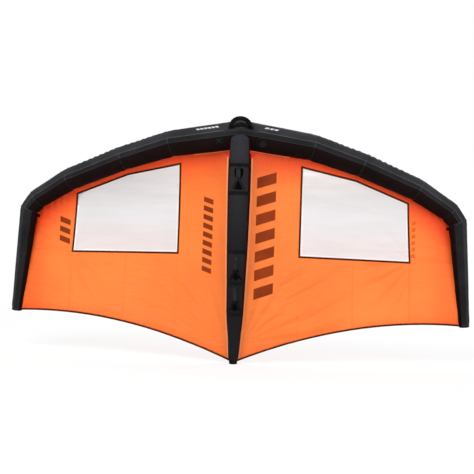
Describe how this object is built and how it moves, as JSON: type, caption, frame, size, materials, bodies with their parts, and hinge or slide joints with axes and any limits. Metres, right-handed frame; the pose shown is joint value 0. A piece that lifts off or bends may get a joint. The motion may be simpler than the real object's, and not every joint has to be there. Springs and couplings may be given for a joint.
{
  "type": "wingfoil wing",
  "caption": "Inflatable hand-held wing for foiling, with a tubular leading edge, a central strut with handles, a translucent canopy and clear windows.",
  "frame": {"origin": "middle of the flat tail of the central strut, where the wing stands on the ground", "axes": "+X along the span, +Y away from the rider, towards the tips' sweep, +Z from the trailing edge to the leading edge"},
  "size_m": [3.2854, 0.6074, 1.6412],
  "materials": {
    "black_sailcloth": "woven polyester, semi matt",
    "black_webbing": "ribbed webbing, matt",
    "charcoal_patch": "coated reinforcement cloth, matt",
    "black_foam": "moulded foam rubber, matt",
    "black_plastic": "moulded, satin",
    "grey_plastic": "moulded, satin",
    "orange_ripstop": "thin coated ripstop, lets light through",
    "clear_film": "clear window film, milky, slightly creased",
    "dark_seam_tape": "folded seam tape, matt",
    "red_ripstop": "doubled ripstop",
    "clear_bladder": "clear elastic film"
  },
  "bodies": {
    "wing": {"canopy_left": "orange_ripstop", "canopy_right": "orange_ripstop", "corner_tab_left": "black_webbing", "corner_tab_right": "black_webbing", "crossover_hose": "clear_bladder", "edge_bladder": "clear_bladder", "edge_center_left": "black_sailcloth", "edge_center_right": "black_sailcloth", "edge_corner_left": "black_sailcloth", "edge_corner_right": "black_sailcloth", "edge_mid_left": "black_sailcloth", "edge_mid_right": "black_sailcloth", "edge_outer_left": "black_sailcloth", "edge_outer_right": "black_sailcloth", "edge_shoulder_left": "black_sailcloth", "edge_shoulder_right": "black_sailcloth", "front_handle_tab_left": "black_webbing", "front_handle_tab_right": "black_webbing", "front_patch": "charcoal_patch", "handle_1_patch": "charcoal_patch", "handle_1_strap": "black_webbing", "handle_1_yoke": "black_webbing", "handle_2_patch": "charcoal_patch", "handle_2_strap": "black_webbing", "handle_2_yoke": "black_webbing", "handle_3_patch": "charcoal_patch", "handle_3_strap": "black_webbing", "handle_3_yoke": "black_webbing", "hem_left": "dark_seam_tape", "hem_right": "dark_seam_tape", "root_patch_left": "red_ripstop", "root_patch_right": "red_ripstop", "root_tape": "dark_seam_tape", "stitch_patch": "black_webbing", "strut_band_1": "black_webbing", "strut_band_2": "black_webbing", "strut_band_3": "black_webbing", "strut_band_4": "black_webbing", "strut_band_5": "black_webbing", "strut_bladder": "clear_bladder", "strut_end_cap": "black_foam", "strut_sleeve": "black_sailcloth", "tip_cap_left": "black_webbing", "tip_cap_right": "black_webbing", "tip_tube_left": "black_sailcloth", "tip_tube_right": "black_sailcloth", "valve_base": "black_plastic", "valve_patch": "black_webbing", "window_left": "clear_film", "window_right": "clear_film", "window_tape_left": "dark_seam_tape", "window_tape_right": "dark_seam_tape"},
    "front_handle": {"front_handle_grip": "black_foam"},
    "handle_1": {"handle_1_grip": "black_foam"},
    "handle_2": {"handle_2_grip": "black_foam"},
    "handle_3": {"handle_3_grip": "black_foam"},
    "valve_collar": {"valve_collar": "grey_plastic"},
    "valve_cap": {"valve_cap": "black_plastic"}
  },
  "joints": [
    {"name": "front_handle_swing", "type": "hinge", "parent": "wing", "child": "front_handle", "pos_m": [0, -0.02966, 1.58228], "axis": [1, 0, 0], "range_deg": [-25, 25], "stiffness_Nm_per_rad": 0.4},
    {"name": "handle_1_swing", "type": "hinge", "parent": "wing", "child": "handle_1", "pos_m": [0, -0.07736, 1.16353], "axis": [0, -0.1003, 0.995], "range_deg": [-30, 30], "stiffness_Nm_per_rad": 0.4, "deforming": ["handle_1_yoke", "handle_1_strap"]},
    {"name": "handle_2_swing", "type": "hinge", "parent": "wing", "child": "handle_2", "pos_m": [0, -0.03786, 0.56373], "axis": [0, -0.044, 0.999], "range_deg": [-30, 30], "stiffness_Nm_per_rad": 0.4, "deforming": ["handle_2_yoke", "handle_2_strap"]},
    {"name": "handle_3_swing", "type": "hinge", "parent": "wing", "child": "handle_3", "pos_m": [0, -0.03513, 0.35818], "axis": [0, -0.0096, 1], "range_deg": [-30, 30], "stiffness_Nm_per_rad": 0.4, "deforming": ["handle_3_yoke", "handle_3_strap"]},
    {"name": "valve_collar_turn", "type": "hinge", "parent": "wing", "child": "valve_collar", "pos_m": [0.14749, 0.00277, 1.48018], "axis": [0.1315, -0.8794, -0.4575], "range_deg": [0, 45]},
    {"name": "valve_cap_flip", "type": "hinge", "parent": "valve_collar", "child": "valve_cap", "pos_m": [0.17438, -0.00812, 1.46884], "axis": [0.1979, -0.4289, 0.8814], "range_deg": [0, 130]}
  ]
}
